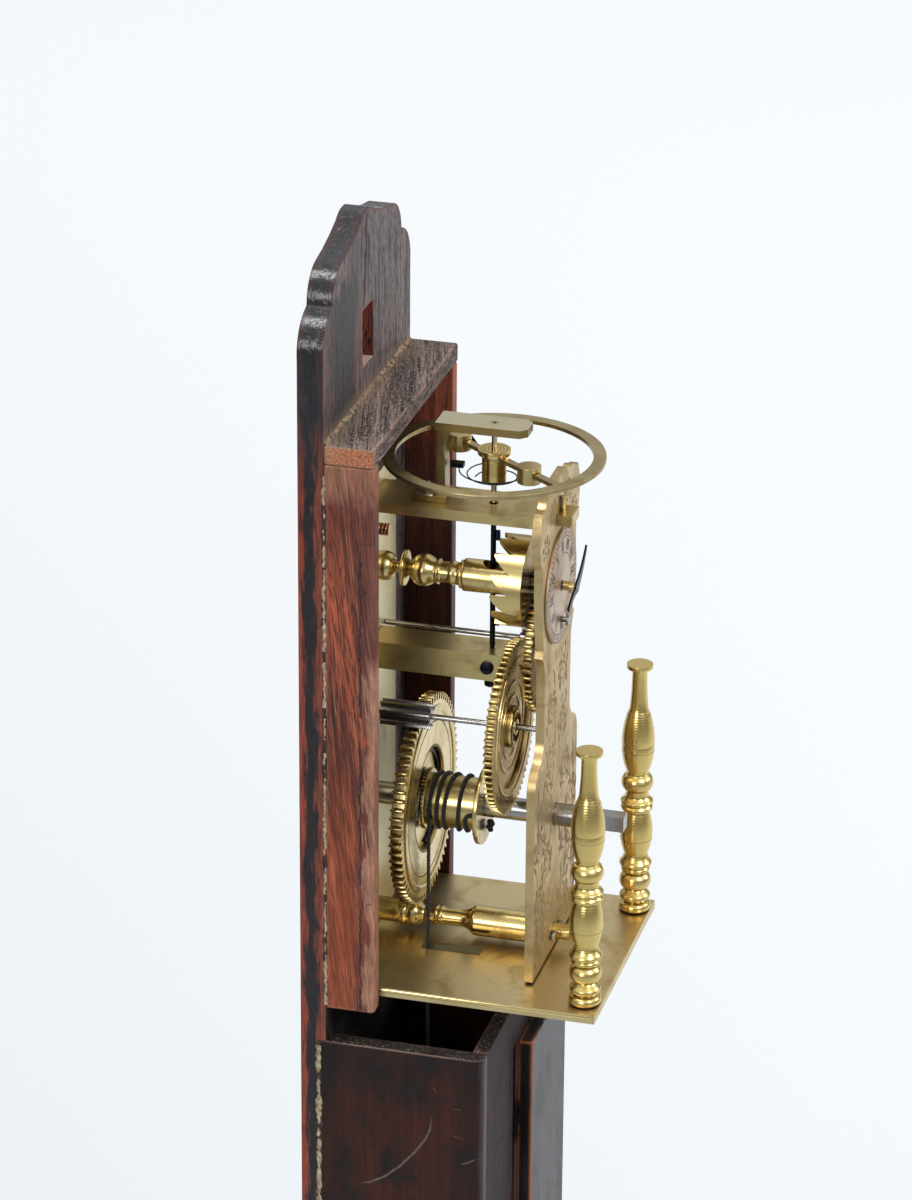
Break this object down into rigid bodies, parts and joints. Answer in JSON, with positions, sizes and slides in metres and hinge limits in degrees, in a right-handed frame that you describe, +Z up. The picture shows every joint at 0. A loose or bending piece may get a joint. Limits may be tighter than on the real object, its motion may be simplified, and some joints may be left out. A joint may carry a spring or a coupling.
{
  "type": "japanese clock",
  "caption": "Weight-driven wall clock: brass verge movement with round balance and hairspring on a lacquered wooden board, with a trunk and hour scale below.",
  "frame": {"origin": "on the wall plane, mid width, at the upper edge of the hanging slot", "axes": "+Z up; +Y into the wall, so the dial faces -Y; +X to the right seen from the front"},
  "size_m": [0.0482, 0.0468, 0.4294],
  "materials": {
    "rosewood": "dark red-brown, lacquered and worn",
    "polished_brass": "turned and polished, warm with age",
    "satin_brass": "satin, slightly tarnished",
    "wheel_brass": "brown tarnish with bright rims",
    "silvered_brass": "silvered, worn",
    "bright_steel": "bright, turned",
    "blued_steel": "blued, dark",
    "black_cord": "twisted cord, black"
  },
  "bodies": {
    "case": {"backboard": "rosewood", "hood_rail_left": "rosewood", "hood_rail_right": "rosewood", "hood_top_bar": "rosewood", "trunk_side_left": "rosewood", "trunk_side_right": "rosewood", "trunk_front": "rosewood", "trunk_bottom": "rosewood", "scale_board": "rosewood", "base_finial_left": "polished_brass", "base_finial_right": "polished_brass", "crown_potence": "polished_brass", "lower_pillar": "polished_brass", "balance_cock": "polished_brass", "verge_bar": "polished_brass", "top_plate": "polished_brass", "hour_markers": "polished_brass", "base_plate": "satin_brass", "back_plate": "satin_brass", "front_plate": "satin_brass", "dial": "silvered_brass", "top_plate_pin": "bright_steel", "lower_pillar_pin": "bright_steel", "cock_screw": "bright_steel", "movement_bolts": "bright_steel", "base_plate_screws": "bright_steel", "dial_stud": "bright_steel", "verge_clamp_screw": "blued_steel", "verge_foot_screw": "blued_steel", "hairspring_stud": "blued_steel"},
    "drum": {"winding_arbor": "bright_steel", "cord_drum": "polished_brass", "ratchet_wheel": "wheel_brass", "drum_cord": "black_cord"},
    "great_wheel": {"great_wheel": "wheel_brass", "great_collet": "polished_brass", "click_spring": "blued_steel", "click_screw": "bright_steel"},
    "click": {"click": "bright_steel"},
    "second": {"second_arbor": "bright_steel", "second_wheel": "wheel_brass", "second_collet": "polished_brass"},
    "third": {"third_arbor": "bright_steel", "third_wheel": "wheel_brass", "third_collet": "polished_brass"},
    "crown": {"crown_arbor": "bright_steel", "crown_wheel": "wheel_brass", "hand_pipe": "polished_brass", "dial_hand": "blued_steel"},
    "balance": {"verge_staff": "blued_steel", "balance_wheel": "satin_brass", "balance_hub": "polished_brass", "hairspring": "blued_steel"},
    "balance_weight_front": {"balance_weight_front": "polished_brass"},
    "balance_weight_rear": {"balance_weight_rear": "polished_brass"},
    "weight": {"weight": "wheel_brass", "weight_cap": "polished_brass", "weight_cord": "black_cord", "pointer": "wheel_brass"}
  },
  "joints": [
    {"name": "weight_slide", "type": "slide", "parent": "case", "child": "weight", "axis": [0, 0, 1], "range_m": [0, 0.205], "deforming": ["weight_cord"]},
    {"name": "drum_turn", "type": "hinge", "parent": "case", "child": "drum", "pos_m": [0, -0.0187, -0.0823], "axis": [0, 1, 0], "range_deg": [0, 2590]},
    {"name": "third_turn", "type": "hinge", "parent": "case", "child": "third", "pos_m": [0.00478, -0.02, -0.05474], "axis": [0, 1, 0], "continuous": true},
    {"name": "second_turn", "type": "hinge", "parent": "case", "child": "second", "pos_m": [-0.00627, -0.02, -0.065], "axis": [0, 1, 0], "continuous": true},
    {"name": "great_turn", "type": "hinge", "parent": "case", "child": "great_wheel", "pos_m": [0, -0.0133, -0.0823], "axis": [0, 1, 0], "continuous": true},
    {"name": "crown_turn", "type": "hinge", "parent": "case", "child": "crown", "pos_m": [0, -0.03, -0.04296], "axis": [0, 1, 0], "continuous": true},
    {"name": "click_lift", "type": "hinge", "parent": "great_wheel", "child": "click", "pos_m": [-0.0069, -0.0136, -0.0823], "axis": [0, -1, 0], "range_deg": [0, 12], "stiffness_Nm_per_rad": 0.00002, "springref_deg": -28.65},
    {"name": "balance_swing", "type": "hinge", "parent": "case", "child": "balance", "pos_m": [0, -0.0243, -0.0226], "axis": [0, 0, 1], "range_deg": [-106, 0], "stiffness_Nm_per_rad": 0.000015, "springref_deg": -53, "deforming": ["hairspring"]},
    {"name": "weight_shift_front", "type": "slide", "parent": "balance", "child": "balance_weight_front", "axis": [-0.6018, -0.7986, 0], "range_m": [-0.0035, 0.0042]},
    {"name": "weight_shift_rear", "type": "slide", "parent": "balance", "child": "balance_weight_rear", "axis": [0.6018, 0.7986, 0], "range_m": [-0.0035, 0.0042]}
  ],
  "couplings": [
    {"joint": "drum_turn", "follows": "weight_slide", "rad_per_m": 219.78},
    {"joint": "second_turn", "follows": "third_turn", "ratio": -0.11111},
    {"joint": "great_turn", "follows": "third_turn", "ratio": 0.012346},
    {"joint": "crown_turn", "follows": "third_turn", "ratio": -6.75}
  ]
}
